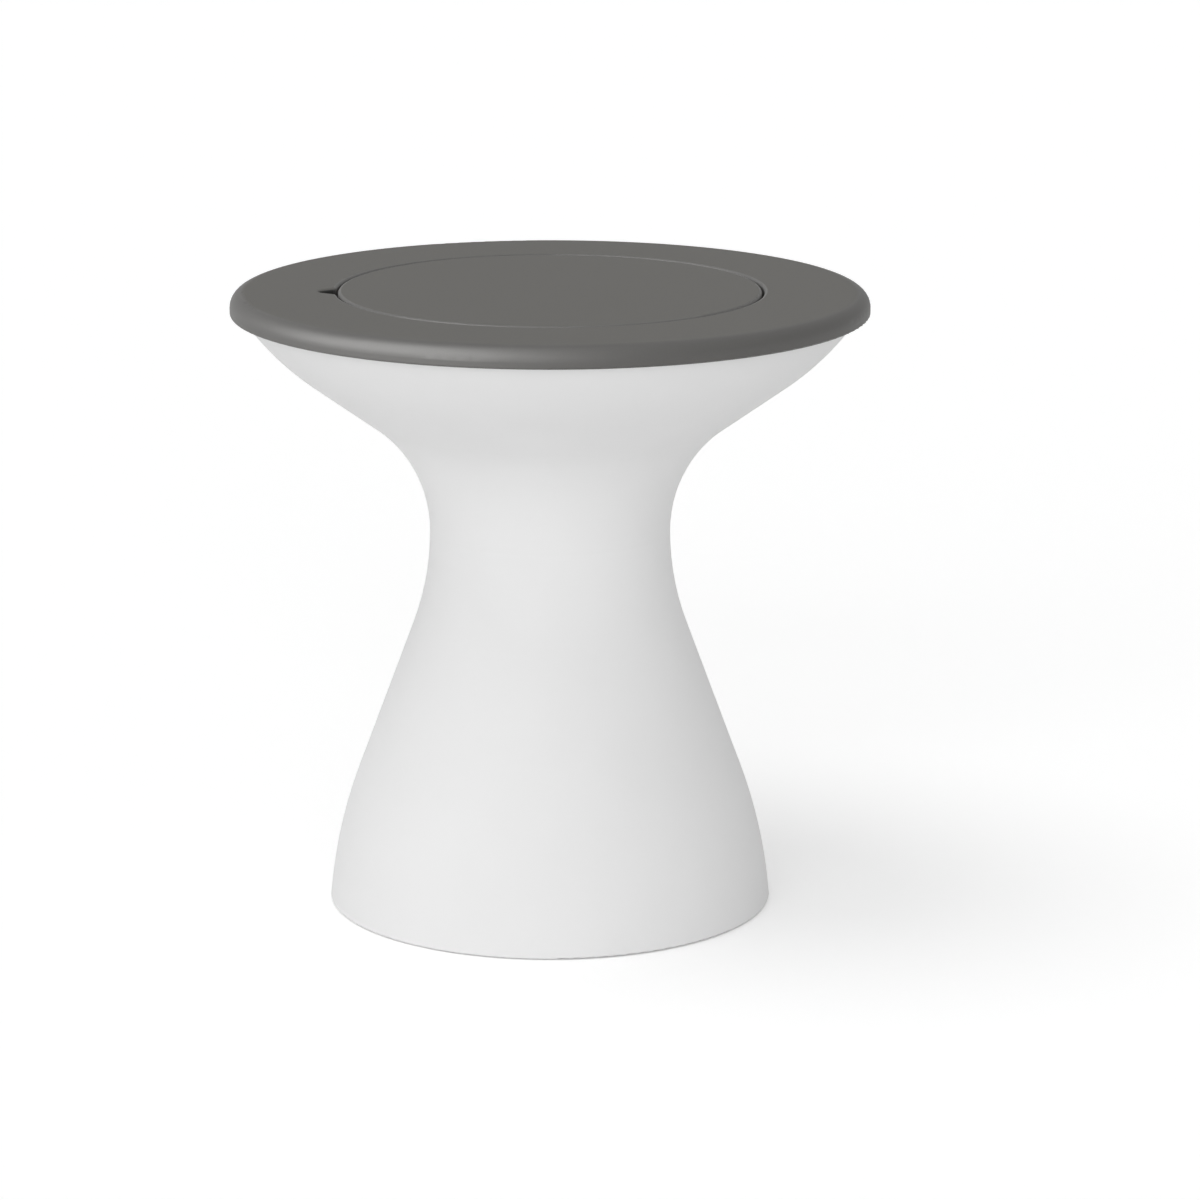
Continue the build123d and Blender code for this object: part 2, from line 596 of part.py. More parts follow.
pieces = {
    "pedestal_shell": make_pedestal_shell(),
    "tabletop_ring": make_tabletop_ring(),
    "ring_screws": copies(ring_screw, ring_places),
    "ring_inserts": copies(threaded_insert(shelf_z - INSERT_LENGTH), ring_places),
    "ice_bin": make_ice_bin(),
    "bin_flange_gasket": make_bin_flange_gasket(),
    "insulation_jacket": make_insulation_jacket(),
    "drain_fitting": Pos(0, 0, drain_seat_z) * through_fitting(drain_tail_length),
    "outlet_fitting": upside_down(outlet_seat_z) * through_fitting(outlet_tail_length),
    "drain_washers": copies(seat_washer(), [Pos(0, 0, drain_seat_z), upside_down(outlet_seat_z)]),
    "drain_lock_nuts": copies(lock_nut(), [Pos(0, 0, sump_under_z), upside_down(outlet_top_z)]),
    "drain_hose": turned(rect(hose_bore, hose_radius, hose_low_z, hose_high_z)),
    "hose_clamps": copies(hose_clamp(), clamp_places),
    "drain_plug": make_drain_plug(),
    "plug_o_ring": make_plug_o_ring(),
    "base_plate": make_base_plate(),
    "base_screws": copies(base_screw, base_places),
    "base_inserts": copies(threaded_insert(base_shelf_z), base_places),
    "rubber_feet": copies(rubber_foot(), foot_places),
    "lid_cover": make_lid_cover(),
    "lid_pan": make_lid_pan(),
    "lid_foam": make_lid_foam(),
    "lid_gasket": make_lid_gasket(),
    "lid_screws": copies(lid_screw, lid_places),
}

os.makedirs("parts", exist_ok=True)
for name, piece in pieces.items():
    export_step(piece, os.path.join("parts", name + ".step"))
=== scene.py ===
import json
import math
from typing import NamedTuple

import bpy
import numpy as np
from bpy.props import FloatProperty, FloatVectorProperty, IntProperty, PointerProperty
from mathutils import Color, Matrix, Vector


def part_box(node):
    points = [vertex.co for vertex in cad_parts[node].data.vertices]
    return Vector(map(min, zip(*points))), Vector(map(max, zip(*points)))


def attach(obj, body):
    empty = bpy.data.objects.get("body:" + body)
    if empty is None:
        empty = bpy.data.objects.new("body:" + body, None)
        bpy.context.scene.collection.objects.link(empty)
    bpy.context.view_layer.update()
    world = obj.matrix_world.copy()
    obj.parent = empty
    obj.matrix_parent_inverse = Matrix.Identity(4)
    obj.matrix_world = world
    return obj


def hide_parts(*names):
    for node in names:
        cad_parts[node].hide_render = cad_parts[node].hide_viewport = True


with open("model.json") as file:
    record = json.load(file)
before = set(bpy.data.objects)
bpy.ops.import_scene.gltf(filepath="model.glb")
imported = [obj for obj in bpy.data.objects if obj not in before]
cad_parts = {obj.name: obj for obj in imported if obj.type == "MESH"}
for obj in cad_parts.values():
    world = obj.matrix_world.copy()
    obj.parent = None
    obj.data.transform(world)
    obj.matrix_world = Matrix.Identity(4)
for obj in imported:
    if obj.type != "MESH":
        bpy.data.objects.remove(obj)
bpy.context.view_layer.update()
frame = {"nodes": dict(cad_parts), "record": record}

bl_info = {
    "name": "Cooler side table",
    "version": (1, 0, 0),
    "blender": (4, 5, 0),
    "location": "3D View > Sidebar > Cooler table",
    "description": "Dresses a cooler side table and sets it in a plain white studio",
    "category": "Object",
}

nodes = frame["nodes"]

# Steps of the grids that the small pieces are made of
RING_COLUMNS = 256
SMALL_COLUMNS = 72
KNOB_COLUMNS = 160
LIP_STEPS = 16
RING_STEPS = 16
EDGE_STEPS = 7
OVAL_STEPS = 40
CREASE = math.radians(40)

# Height of the white band round the horizon, and where it has faded out
BAND_FULL = math.radians(2.5)
BAND_END = math.radians(3.5)

# Camera's film width in millimetres, and how far off the lamps are drawn in metres
FILM_WIDTH = 36
LAMP_DISTANCE = 3

# Usual ranges of the noise and bead patterns
NOISE_RANGE = (0.3, 0.7)
BEAD_RANGE = (0.0, 0.7)

# Share of a rounded edge over which its smooth skin and painted shade fade in, and share of the lid's gap
# past which the notch's painted shade starts
EDGE_FADE = 0.25
NOTCH_SHADE_FADE = 1 / 3


class Skin(NamedTuple):
    """Pattern of a surface: its spacing in metres, the swing of its tone as a share, its roughness at the
    low and high ends of the pattern, the depth of its bumps in metres, and its detail."""

    spacing: float
    swing: float
    low: float
    high: float
    depth: float
    detail: float = 2


BODY_SKIN = Skin(spacing=0.0035, swing=0.008, low=0.60, high=0.68, depth=0.00002, detail=1)
GRAIN_SKIN = Skin(spacing=0.0009, swing=0.05, low=0.68, high=0.78, depth=0.00006, detail=3)
LINER_SKIN = Skin(spacing=0.012, swing=0.008, low=0.36, high=0.42, depth=0.00002, detail=1)
FOAM_SKIN = Skin(spacing=0.004, swing=-0.06, low=0.75, high=0.90, depth=0.0006)
SEAL_SKIN = Skin(spacing=0.0012, swing=0.12, low=0.58, high=0.72, depth=0.00005, detail=4)
FOOT_SKIN = SEAL_SKIN._replace(spacing=0.0015)
FITTING_SKIN = Skin(spacing=0.002, swing=0.02, low=0.32, high=0.42, depth=0.00002)
HOSE_SKIN = Skin(spacing=0.004, swing=0.03, low=0.18, high=0.28, depth=0.00003)
STEEL_SKIN = Skin(spacing=0.002, swing=0.06, low=0.24, high=0.36, depth=0.000015, detail=3)
BRASS_SKIN = STEEL_SKIN._replace(low=0.28, high=0.40)

# Roughness of the fine octaves in the top's grain, spacing of the faint clouds in the pedestal's white,
# and how patterns are drawn out along the hose and squeezed on turned metal
GRAIN_ROUGHNESS = 0.6
CLOUD_SPACING = 0.09
HOSE_STRETCH = (1.0, 1.0, 0.1)
LATHE_STRETCH = (1.0, 1.0, 12.0)

# Shine of the dull finishes, roughness and refractive index of the clear skin on the top's rounded edges,
# and how milky the hose is
BODY_SHINE = 0.04
GRAIN_SHINE = 0.08
RUBBER_SHINE = 0.35
EDGE_ROUGHNESS = 0.46
EDGE_INDEX = 1.68
HOSE_MILKINESS = 0.2


def paint(hex_code):
    """Linear colour of an sRGB hex code, with a full alpha."""
    parts = [int(hex_code[i:i + 2], 16) / 255 for i in (0, 2, 4)]
    return (*Color(parts).from_srgb_to_scene_linear(), 1.0)


def colour(label, hex_code, note):
    """Colour setting."""
    return FloatVectorProperty(name=label, description=note, subtype="COLOR", size=4, min=0, max=1,
                               default=paint(hex_code))


def length(label, metres, note):
    """Length setting in metres."""
    return FloatProperty(name=label, description=note, unit="LENGTH", subtype="DISTANCE", min=0,
                         precision=5, default=metres)


def angle(label, degrees, note):
    """Angle setting, written in degrees and kept in radians."""
    return FloatProperty(name=label, description=note, subtype="ANGLE", unit="ROTATION",
                         default=math.radians(degrees))


def amount(label, value, note):
    """Plain number setting."""
    return FloatProperty(name=label, description=note, min=0, default=value)


class TableFinish(bpy.types.PropertyGroup):
    """Colours and grain sizes of the table's finishes, with the painted shade on the rim, along the seam
    and in the notch.
    """

    body: colour("Pedestal white", "eaeaea", "Dull white of the moulded pedestal")
    top: colour("Tabletop grey", "6c6b68", "Matte grey of the ring and the lid")
    # Painted shade: the rim is the same plastic as the top, and this darker grey stands in for shade on it
    rim_painted_shade: colour("Rim grey", "565553", "Smoother and deeper grey of the rounded rim")
    # Painted shade: the seam's rounded edges are the same plastic as the top, and this darker grey stands
    # in for shade along the seam
    seam: colour("Seam grey", "5d5c5a", "Grey of the rounded edges along the lid's seam")
    # Painted shade: the notch is the same plastic as the top, and this dark grey stands in for the shade
    # deep in it
    notch_painted_shade: colour("Notch grey", "3a3a39", "Deep grey of the finger notch's walls")
    base: colour("Base grey", "55565a", "Closing plate under the pedestal")
    liner: colour("Liner white", "eceeee", "Smooth white of the ice bin and the lid's pan")
    foam: colour("Foam", "efe9d8", "Bead foam between the skins")
    seal: colour("Seal", "2b2c2e", "Soft gaskets, washers and O-ring")
    foot: colour("Foot", "232325", "Rubber pads under the base")
    fitting: colour("Fitting", "d4d7d8", "Drain fittings and lock nuts")
    plug: colour("Plug", "67696b", "Drain plug")
    hose: colour("Hose", "cfd8d6", "Drain hose")
    steel: colour("Stainless steel", "c4c4c6", "Screws and hose clamps")
    brass: colour("Brass", "d0ac62", "Threaded inserts")
    body_peel: length("Pedestal peel", BODY_SKIN.spacing, "Spacing of the faint waves in the moulded skin")
    top_grain: length("Tabletop grain", GRAIN_SKIN.spacing, "Spacing of the grain in the grey top")
    rim_round: length("Rim round", 0.012, "Width of the rounded rim, where the grain runs out")
    seam_round: length("Seam round", 0.003, "Width of the rounded edges on both sides of the lid's seam")
    seam_gap: length("Seam gap", 0.0015, "Gap round the lid")
    rim_gloss: amount("Rim gloss", 0.5, "Strength of the smooth skin's gloss on the rounded rim")
    seam_gloss: amount("Seam gloss", 0.6, "Strength of the smooth skin's gloss along the lid's seam")
    notch_depth: length("Notch depth", 0.0135, "How far the finger notch reaches into the ring")
    # Depth below the top at which the notch's painted shade starts
    notch_lip: length("Notch lip", 0.002, "How far below the top the finger notch's deeper grey starts")
    bead: length("Foam bead", FOAM_SKIN.spacing, "Size of a foam bead")


class SmallParts(bpy.types.PropertyGroup):
    """Shapes of the small soft and turned pieces."""

    seal_width: length("Seal width", 0.005, "Width of the lid's seal")
    seal_lips: IntProperty(name="Seal lips", description="Lips under the lid's seal", min=1, default=2)
    seal_groove: length("Seal groove", 0.0011, "Depth of the groove between the seal's lips")
    pad_count: IntProperty(name="Feet", description="Rubber feet under the base", min=3, default=6)
    pad_rings: IntProperty(name="Pad rings", description="Grip rings under each foot", min=1, default=4)
    pad_groove: length("Pad groove", 0.0007, "Depth of the grooves between a foot's grip rings")
    pad_round: length("Pad round", 0.0006, "Rounding of a foot's lower edge")
    stem_radius: length("Plug stem radius", 0.0076, "Radius of the plug's stem")
    stem_length: length("Plug stem", 0.014, "Length of the plug's stem below its cap")
    cap_height: length("Plug cap", 0.003, "Thickness of the plug's cap")
    neck_radius: length("Plug neck radius", 0.0045, "Radius of the neck between the cap and the knob")
    knob_radius: length("Knob radius", 0.009, "Radius of the plug's knob")
    knob_height: length("Knob height", 0.006, "Height of the plug's knob")
    knob_square: amount("Knob squareness", 4.0, "2 gives an oval knob, larger values a squarer one")
    flute_count: IntProperty(name="Knob flutes", description="Finger flutes round the plug's knob",
                             min=3, default=10)
    flute_depth: length("Flute depth", 0.0011, "How far each flute cuts into the plug's knob")


class Studio(bpy.types.PropertyGroup):
    """Camera, lamps and floor."""

    camera_back: length("Camera distance", 3.622, "Camera's distance in front of the table's axis")
    camera_high: length("Camera height", 1.1308, "Camera's height above the floor")
    camera_dip: angle("Camera dip", 13.667, "How far the camera looks down")
    camera_shift: amount("Camera shift", 0.0416, "How far left of the middle the table stands, as a share")
    lens: FloatProperty(name="Lens", description="Focal length", subtype="DISTANCE_CAMERA",
                        default=136.48)
    front_from: angle("Front direction", 15, "Front lamp's bearing, from the camera round to the left")
    front_high: angle("Front elevation", 5, "Front lamp's height above the horizon")
    front_spread: angle("Front spread", 60, "Apparent width of the front lamp")
    front_power: amount("Front power", 1.464, "Front lamp's strength")
    key_from: angle("Key direction", 80, "Key lamp's bearing, from the camera round to the left")
    key_high: angle("Key elevation", 70, "Key lamp's height above the horizon")
    key_spread: angle("Key spread", 35, "Apparent width of the key lamp")
    key_power: amount("Key power", 0.56, "Key lamp's strength")
    edge_from: angle("Edge direction", 62, "Edge lamp's bearing, from the camera round to the left")
    edge_high: angle("Edge elevation", 26, "Edge lamp's height above the horizon")
    edge_spread: angle("Edge spread", 84, "Apparent width of the edge lamp")
    edge_power: amount("Edge power", 8.5, "Edge lamp's strength, seen only in glossy skins")
    ambient: amount("Ambient", 0.58, "Strength of the even light from above the white surround")
    floor_reach: length("Floor reach", 40.0, "Half the width of the floor")
    floor_white: amount("Floor white", 1.0, "Share of light that the floor shows the camera")
    floor_bounce: amount("Floor bounce", 0.9, "Share of light that the floor sends back up at the table")
    floor_lift: amount("Floor lift", 0.18, "Glow, in the picture alone, that makes the open floor white")


GROUPS = {"cooler_finish": TableFinish, "cooler_parts": SmallParts, "cooler_studio": Studio}


def settings(name):
    """Settings kept on the scene."""
    return getattr(bpy.context.scene, name)


class Recipe:
    """A material's node tree with a Principled shader, filled in by short calls."""

    def __init__(self, name):
        self.material = bpy.data.materials.new(name)
        self.material.use_nodes = True
        self.tree = self.material.node_tree
        self.shader = self.tree.nodes["Principled BSDF"]

    def node(self, kind, **sockets):
        """Adds a node. A keyword names an input, with spaces as underscores, and holds a value or
        an output."""
        made = self.tree.nodes.new(kind)
        self.feed(made, **sockets)
        return made

    def feed(self, made, **sockets):
        """Sets or links a node's inputs."""
        for name, value in sockets.items():
            socket = made.inputs[name.replace("_", " ")]
            if isinstance(value, bpy.types.NodeSocket):
                self.tree.links.new(value, socket)
            else:
                socket.default_value = value

    def place(self):
        """Object coordinates, in metres in the table's frame."""
        return self.node("ShaderNodeTexCoord").outputs["Object"]

    def noise(self, spacing, place, detail=2.0, roughness=0.5):
        """Noise whose features lie a spacing apart."""
        made = self.node("ShaderNodeTexNoise", Vector=place, Scale=1 / spacing, Detail=detail,
                         Roughness=roughness)
        return made.outputs["Fac"]

    def stretched(self, place, scale):
        """Place scaled along each axis."""
        return self.node("ShaderNodeMapping", Vector=place, Scale=scale).outputs["Vector"]

    def span(self, value, low, high, from_low=NOISE_RANGE[0], from_high=NOISE_RANGE[1]):
        """Value spread from a range, which is the noise's unless another is given, to low and high."""
        made = self.node("ShaderNodeMapRange", Value=value)
        self.feed(made, From_Min=from_low, From_Max=from_high, To_Min=low, To_Max=high)
        return made.outputs["Result"]

    def mixed(self, share, first, second):
        """Colour that goes from the first to the second as the share goes from 0 to 1."""
        mix = self.node("ShaderNodeMix")
        mix.data_type = "RGBA"
        mix.clamp_factor = True
        factor, start, end = (next(s for s in mix.inputs if s.identifier == key)
                              for key in ("Factor_Float", "A_Color", "B_Color"))
        self.tree.links.new(share, factor)
        for value, socket in ((first, start), (second, end)):
            if isinstance(value, bpy.types.NodeSocket):
                self.tree.links.new(value, socket)
            else:
                socket.default_value = value
        return next(s for s in mix.outputs if s.identifier == "Result_Color")

    def tinted(self, value, base, swing, from_low=NOISE_RANGE[0], from_high=NOISE_RANGE[1]):
        """Base colour, darker by swing at low values and lighter by it at high ones."""
        share = self.span(value, 0.0, 1.0, from_low, from_high)
        dark = (*[c * (1 - swing) for c in base[:3]], 1)
        light = (*[min(1, c * (1 + swing)) for c in base[:3]], 1)
        return self.mixed(share, dark, light)

    def reach(self, place):
        """Distance from the table's axis."""
        made = self.node("ShaderNodeVectorMath", Vector=self.stretched(place, (1.0, 1.0, 0.0)))
        made.operation = "LENGTH"
        return made.outputs["Value"]

    def joined(self, operation, *values):
        """Values taken together, one after another, by a Math node's operation."""
        total = values[0]
        for value in values[1:]:
            made = self.node("ShaderNodeMath")
            made.operation = operation
            self.tree.links.new(total, made.inputs[0])
            self.tree.links.new(value, made.inputs[1])
            total = made.outputs["Value"]
        return total

    def bump(self, height, depth):
        """Normal from a height that runs from 0 to 1 over a depth in metres."""
        made = self.node("ShaderNodeBump", Height=height, Distance=depth, Strength=1.0)
        return made.outputs["Normal"]

    def shade(self, **sockets):
        """Feeds the shader and gives the material back."""
        self.feed(self.shader, **sockets)
        return self.material


def patterned(name, tone, skin, stretch=None, **sockets):
    """Material whose tone, roughness and bumps follow one noise pattern, drawn out where a stretch is
    given. Other sockets of the shader are set as named."""
    recipe = Recipe(name)
    place = recipe.place()
    if stretch:
        place = recipe.stretched(place, stretch)
    pattern = recipe.noise(skin.spacing, place, skin.detail)
    return recipe.shade(
        Base_Color=recipe.tinted(pattern, tone, skin.swing),
        Roughness=recipe.span(pattern, skin.low, skin.high),
        Normal=recipe.bump(pattern, skin.depth),
        **sockets)


def dull_body():
    """White moulded skin: a faint long wave, fine peel and a dull gloss that varies a little."""
    look = settings("cooler_finish")
    recipe = Recipe("body_resin")
    place = recipe.place()
    cloud = recipe.noise(CLOUD_SPACING, place)
    peel = recipe.noise(look.body_peel, place, BODY_SKIN.detail)
    return recipe.shade(
        Base_Color=recipe.tinted(cloud, look.body, BODY_SKIN.swing),
        Roughness=recipe.span(peel, BODY_SKIN.low, BODY_SKIN.high),
        Normal=recipe.bump(peel, BODY_SKIN.depth),
        Specular_IOR_Level=BODY_SHINE)


def rim_gloss_and_painted_shade(recipe, reach):
    """Share of the rim's glossy skin and painted shade at a distance from the table's axis: 1 on the
    rounded rim and 0 on the flats.
    """
    look = settings("cooler_finish")
    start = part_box("tabletop_ring")[1][0] - look.rim_round
    return recipe.span(reach, 0.0, 1.0, start, start + look.rim_round * EDGE_FADE)


def seam_gloss_and_painted_shade(recipe, reach):
    """Share of glossy skin and painted shade at a distance from the table's axis: 1 on the rounded edges on
    both sides of the lid's seam and 0 on the flats."""
    look = settings("cooler_finish")
    lid_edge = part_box("lid_cover")[1][0]
    start = lid_edge - look.seam_round
    end = lid_edge + look.seam_gap + look.seam_round
    fade = look.seam_round * EDGE_FADE
    inside = recipe.span(reach, 0.0, 1.0, start, start + fade)
    outside = recipe.span(reach, 1.0, 0.0, end - fade, end)
    return recipe.joined("MINIMUM", inside, outside)


def painted_notch_shade(recipe, place, reach):
    """Share of the painted shade in the finger notch: 1 from the lid's opening out to the notch's end,
    below the edge of the top and on the table's left, where the notch is, and 0 elsewhere."""
    look = settings("cooler_finish")
    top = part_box("lid_cover")[1][2]
    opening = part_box("lid_cover")[1][0] + look.seam_gap
    notch_end = opening + look.notch_depth
    beyond = recipe.span(reach, 0.0, 1.0, opening + look.seam_gap * NOTCH_SHADE_FADE, opening + look.seam_gap)
    within = recipe.span(reach, 1.0, 0.0, notch_end, notch_end + look.seam_gap)
    along = recipe.node("ShaderNodeSeparateXYZ", Vector=place).outputs
    below = recipe.span(along["Z"], 1.0, 0.0, top - look.notch_lip, top - look.notch_lip / 2)
    beside = recipe.span(along["X"], 1.0, 0.0, look.notch_lip - opening, 2 * look.notch_lip - opening)
    return recipe.joined("MINIMUM", beyond, within, below, beside)


def grained_top():
    """Matte grained plastic: fine pits in the surface, with colour and gloss that follow them. The rounded
    rim and the edges along the lid's seam have a smooth, glossier skin and painted shade in darker greys,
    and the finger notch has darker painted shade still."""
    look = settings("cooler_finish")
    recipe = Recipe("top_resin")
    place = recipe.place()
    grain = recipe.noise(look.top_grain, place, GRAIN_SKIN.detail, GRAIN_ROUGHNESS)
    reach = recipe.reach(place)
    rim_painted_shade = rim_gloss_and_painted_shade(recipe, reach)
    seam = seam_gloss_and_painted_shade(recipe, reach)
    notch_shade_share = painted_notch_shade(recipe, place, reach)
    tone = recipe.tinted(grain, look.top, GRAIN_SKIN.swing)
    # Painted shade: darker greys mixed in on the rim, along the lid's seam and in the finger notch
    for share, painted_shade_tone in ((rim_painted_shade, look.rim_painted_shade), (seam, look.seam), (notch_shade_share, look.notch_painted_shade)):
        tone = recipe.mixed(share, tone, recipe.tinted(grain, painted_shade_tone, GRAIN_SKIN.swing))
    rim_coat = recipe.span(rim_painted_shade, 0.0, look.rim_gloss, 0.0, 1.0)
    seam_coat = recipe.span(seam, 0.0, look.seam_gloss, 0.0, 1.0)
    return recipe.shade(
        Base_Color=tone,
        Roughness=recipe.span(grain, GRAIN_SKIN.low, GRAIN_SKIN.high),
        Normal=recipe.bump(grain, GRAIN_SKIN.depth),
        Coat_Weight=recipe.joined("MAXIMUM", rim_coat, seam_coat),
        Coat_Roughness=EDGE_ROUGHNESS,
        Coat_IOR=EDGE_INDEX,
        Specular_IOR_Level=GRAIN_SHINE)


def grained_base():
    """Matte grained plastic of the closing plate, as on the flats of the top."""
    look = settings("cooler_finish")
    recipe = Recipe("base_resin")
    grain = recipe.noise(look.top_grain, recipe.place(), GRAIN_SKIN.detail, GRAIN_ROUGHNESS)
    return recipe.shade(
        Base_Color=recipe.tinted(grain, look.base, GRAIN_SKIN.swing),
        Roughness=recipe.span(grain, GRAIN_SKIN.low, GRAIN_SKIN.high),
        Normal=recipe.bump(grain, GRAIN_SKIN.depth),
        Specular_IOR_Level=GRAIN_SHINE)


def smooth_liner():
    """White liner with a soft ripple in its gloss."""
    return patterned("liner_resin", settings("cooler_finish").liner, LINER_SKIN)


def bead_foam():
    """Bead foam: rounded cells with dimples between them."""
    look = settings("cooler_finish")
    recipe = Recipe("foam")
    cells = recipe.node("ShaderNodeTexVoronoi", Vector=recipe.place(), Scale=1 / look.bead)
    beads = cells.outputs["Distance"]
    return recipe.shade(
        Base_Color=recipe.tinted(beads, look.foam, FOAM_SKIN.swing, *BEAD_RANGE),
        Roughness=recipe.span(beads, FOAM_SKIN.low, FOAM_SKIN.high, *BEAD_RANGE),
        Normal=recipe.bump(recipe.span(beads, 1.0, 0.0, *BEAD_RANGE), FOAM_SKIN.depth))


def soft_rubber(name, tone, skin):
    """Dull rubber with a fine talc-like bloom."""
    return patterned(name, tone, skin, Specular_IOR_Level=RUBBER_SHINE)


def moulded_fitting(name, tone):
    """Injection-moulded fitting with a light satin ripple."""
    return patterned(name, tone, FITTING_SKIN)


def milky_vinyl():
    """Milky hose wall with faint lines along it."""
    look = settings("cooler_finish")
    return patterned("hose_vinyl", look.hose, HOSE_SKIN, HOSE_STRETCH, Subsurface_Weight=HOSE_MILKINESS)


def turned_metal(name, tone, skin):
    """Machined metal with fine tool lines across its height."""
    return patterned(name, tone, skin, LATHE_STRETCH, Metallic=1.0)


def dress(material, *names):
    """Gives the material to every slot of the named CAD pieces."""
    for name in names:
        mesh = nodes[name].data
        mesh.materials.clear()
        mesh.materials.append(material)


def lathe(profile, angles):
    """Grid of points: each (radius, height) of the profile turned through each angle about the axis."""
    radius = profile[:, 0][:, None]
    height = np.broadcast_to(profile[:, 1][:, None], (len(profile), len(angles)))
    return np.stack([radius * np.cos(angles), radius * np.sin(angles), height], axis=-1)


def full_turn(count):
    """Evenly spaced angles of one whole turn."""
    return np.linspace(0, 2 * math.pi, count, endpoint=False)


def grid_faces(rows, columns, closed):
    """Quads of a grid that wraps round its columns, and round its rows too where it is closed.
    They face outwards where rows run anticlockwise in the radius and height plane."""
    row = np.arange(rows if closed else rows - 1)[:, None]
    column = np.arange(columns)[None, :]
    after = (row + 1) % rows
    beside = (column + 1) % columns
    corners = ((row, column), (row, beside), (after, beside), (after, column))
    quads = [down * columns + across for down, across in corners]
    return np.stack(np.broadcast_arrays(*quads), axis=-1).reshape(-1, 4)


def piece(name, grids, material, body, stands_for, closed=False):
    """Makes one mesh object from point grids of one size, puts it on the named body and hides the CAD piece
    that it stands for.
    An open grid is closed at both ends with a single face."""
    count, rows, columns = grids.shape[:3]
    offsets = np.arange(count)[:, None, None] * rows * columns
    quads = (grid_faces(rows, columns, closed)[None] + offsets).reshape(-1, 4).tolist()
    caps = []
    if not closed:
        ring = np.arange(columns)
        first = (ring[::-1] + offsets[:, 0]).tolist()
        last = (ring + (rows - 1) * columns + offsets[:, 0]).tolist()
        caps = first + last
    mesh = bpy.data.meshes.new(name)
    mesh.from_pydata(grids.reshape(-1, 3), [], quads + caps)
    mesh.polygons.foreach_set("use_smooth", np.ones(len(mesh.polygons), bool))
    mesh.set_sharp_from_angle(angle=CREASE)
    mesh.materials.append(material)
    mesh.update()
    made = bpy.data.objects.new(name, mesh)
    bpy.context.scene.collection.objects.link(made)
    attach(made, body)
    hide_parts(stands_for)


def lipped_section(inner, outer, low, high, lips, groove):
    """Closed section of a seal: a flat back above, and below it rounded lips with grooves between them.
    Below, height = low + groove * (1 + cos(turns * share)) / 2, with one whole turn to a lip."""
    share = np.linspace(0, 1, LIP_STEPS * lips + 1)
    wave = low + groove * (1 + np.cos(2 * math.pi * lips * share)) / 2
    below = np.stack([inner + (outer - inner) * share, wave], axis=-1)
    above = np.array([[outer, high], [inner, high]])
    return np.concatenate([below, above])


def ringed_pad(radius, high, rings, groove, edge):
    """Profile of a foot from the middle of its sole: flat lands with rings cut between them, a rounded
    edge and an upright side. Across the sole, height = groove * ((1 - cos(turns * share)) / 2) ** 3."""
    share = np.linspace(1 / (RING_STEPS * rings), 1, RING_STEPS * rings)
    cut = groove * ((1 - np.cos(2 * math.pi * rings * share)) / 2) ** 3
    sole = np.stack([(radius - edge) * share, cut], axis=-1)
    turn = np.linspace(0, math.pi / 2, EDGE_STEPS)[1:]
    corner = np.stack([radius - edge + edge * np.sin(turn), edge - edge * np.cos(turn)], axis=-1)
    return np.concatenate([sole, corner, [[radius, high]]])


def squared_oval(radius, height, squareness, start):
    """Right half of a squared oval from a starting radius near its foot up to its crown:
    radius * cos(t) ** (2 / squareness) across and height / 2 * sin(t) ** (2 / squareness) up."""
    power = 2 / squareness
    foot = -math.acos((start / radius) ** (1 / power))
    turn = np.linspace(foot, math.pi / 2 - 1 / OVAL_STEPS, OVAL_STEPS)
    across = radius * np.cos(turn) ** power
    up = height / 2 * (1 + np.sign(turn) * np.abs(np.sin(turn)) ** power)
    return np.stack([across, up], axis=-1)


def foot_places(count):
    """Middles of the feet: the one that the floor mount names, turned round the axis."""
    mounts = frame["record"]["mounts"]
    x, y, z = next(mount["pos_m"] for mount in mounts if mount["name"] == "floor_rest")
    angles = math.atan2(y, x) + full_turn(count)
    radius = math.hypot(x, y)
    return np.stack([radius * np.cos(angles), radius * np.sin(angles), np.full(count, z)], axis=-1)


class COOLER_OT_dress_pedestal(bpy.types.Operator):
    """Dull white skin of the pedestal"""

    bl_idname = "cooler.dress_pedestal"
    bl_label = "Pedestal"

    def execute(self, context):
        dress(dull_body(), "pedestal_shell")
        return {"FINISHED"}


class COOLER_OT_dress_tabletop(bpy.types.Operator):
    """Grained grey of the tabletop ring, the lid and the base plate"""

    bl_idname = "cooler.dress_tabletop"
    bl_label = "Tabletop and base"

    def execute(self, context):
        dress(grained_top(), "tabletop_ring", "lid_cover")
        dress(grained_base(), "base_plate")
        return {"FINISHED"}


class COOLER_OT_dress_cooler(bpy.types.Operator):
    """Smooth liners and the foam behind them"""

    bl_idname = "cooler.dress_cooler"
    bl_label = "Bin, lid pan and foam"

    def execute(self, context):
        dress(smooth_liner(), "ice_bin", "lid_pan")
        dress(bead_foam(), "insulation_jacket", "lid_foam")
        return {"FINISHED"}


class COOLER_OT_dress_drain(bpy.types.Operator):
    """Drain fittings, hose and seals"""

    bl_idname = "cooler.dress_drain"
    bl_label = "Drain"

    def execute(self, context):
        look = context.scene.cooler_finish
        fitting = moulded_fitting("fitting_resin", look.fitting)
        dress(fitting, "drain_fitting", "outlet_fitting", "drain_lock_nuts")
        dress(milky_vinyl(), "drain_hose")
        rubber = soft_rubber("seal_rubber", look.seal, SEAL_SKIN)
        dress(rubber, "drain_washers", "bin_flange_gasket", "plug_o_ring")
        return {"FINISHED"}


